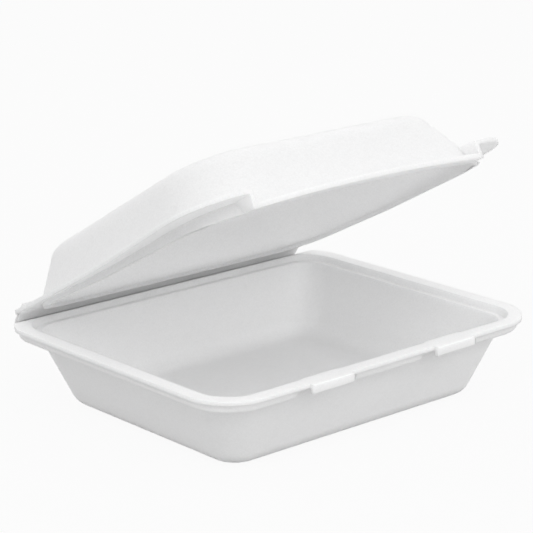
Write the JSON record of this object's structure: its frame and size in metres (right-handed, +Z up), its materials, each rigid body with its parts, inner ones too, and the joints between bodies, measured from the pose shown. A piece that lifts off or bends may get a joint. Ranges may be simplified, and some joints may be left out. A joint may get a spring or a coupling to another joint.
{
  "type": "foam clamshell container",
  "caption": "Shallow rectangular foam food container with a deep lid hinged along its back edge, held open, and two latch tabs on the front rim.",
  "frame": {"origin": "middle of the flat underside of the tray, on the surface it stands on", "axes": "+Z up, +X along the hinge crease (the longest side), the latch tabs face -Y and the hinge is at +Y"},
  "size_m": [0.235, 0.2003, 0.1594],
  "materials": {
    "foam_tray": "matt white moulded foam",
    "foam_lid": "matt white moulded foam"
  },
  "bodies": {
    "tray": {"base_tray": "foam_tray"},
    "lid": {"hinged_lid": "foam_lid"}
  },
  "joints": [
    {"name": "lid_hinge", "type": "hinge", "parent": "tray", "child": "lid", "pos_m": [0, 0.098, 0.0421], "axis": [-1, 0, 0], "range_deg": [-27, 148]}
  ]
}
